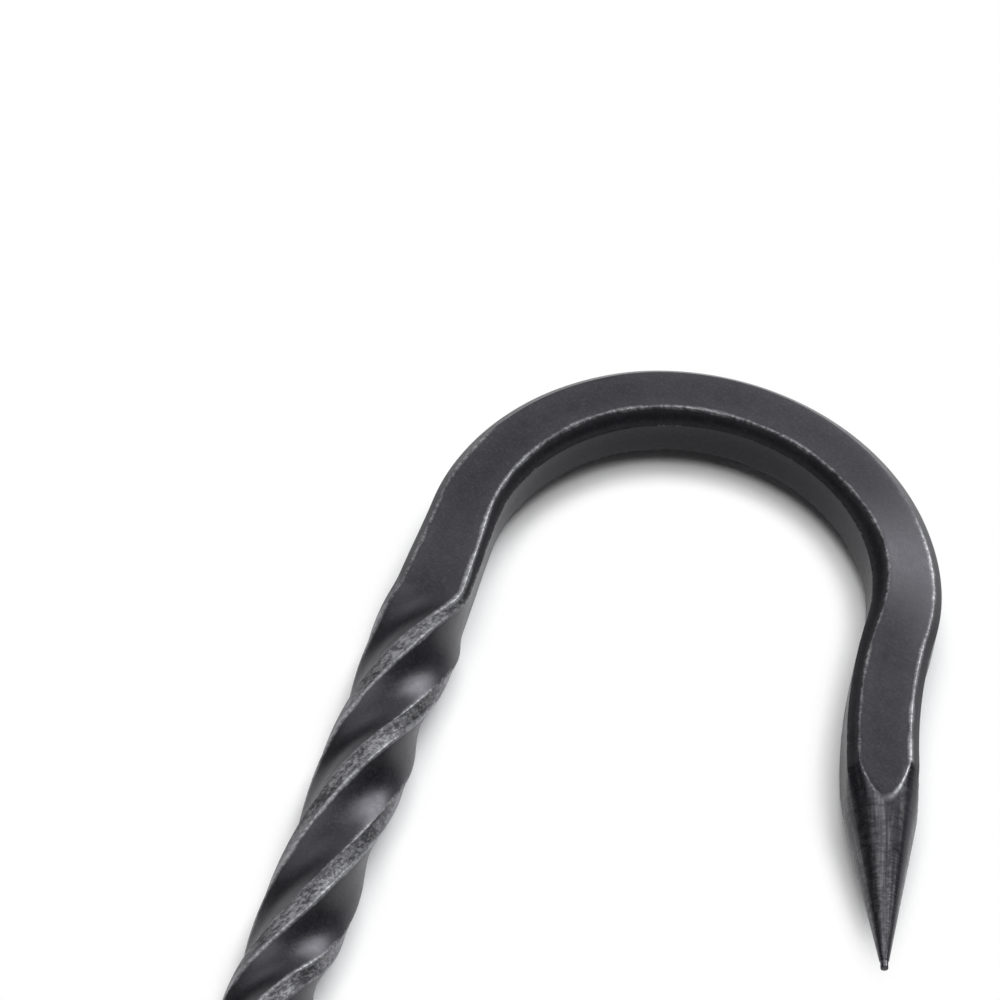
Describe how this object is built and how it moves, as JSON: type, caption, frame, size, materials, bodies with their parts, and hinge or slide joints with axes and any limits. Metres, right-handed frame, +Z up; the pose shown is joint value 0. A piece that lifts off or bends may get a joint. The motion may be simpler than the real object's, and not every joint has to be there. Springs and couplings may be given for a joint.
{
  "type": "s hook",
  "caption": "Forged S hook of bevelled square bar: twisted shank, and at each end a round bow whose tip flares out and is turned to a cone point.",
  "frame": {"origin": "middle of the twisted shank, on the surface that the hook lies on", "axes": "+Y along the shank towards the bow that the picture shows, +X towards that bow's point, +Z up from the surface, square to the plane of both bows"},
  "size_m": [0.097, 0.1538, 0.0077],
  "materials": {
    "black_iron": "dark forged iron, satin, with brighter worn edges"
  },
  "bodies": {
    "root": {"s_hook": "black_iron"}
  },
  "joints": []
}
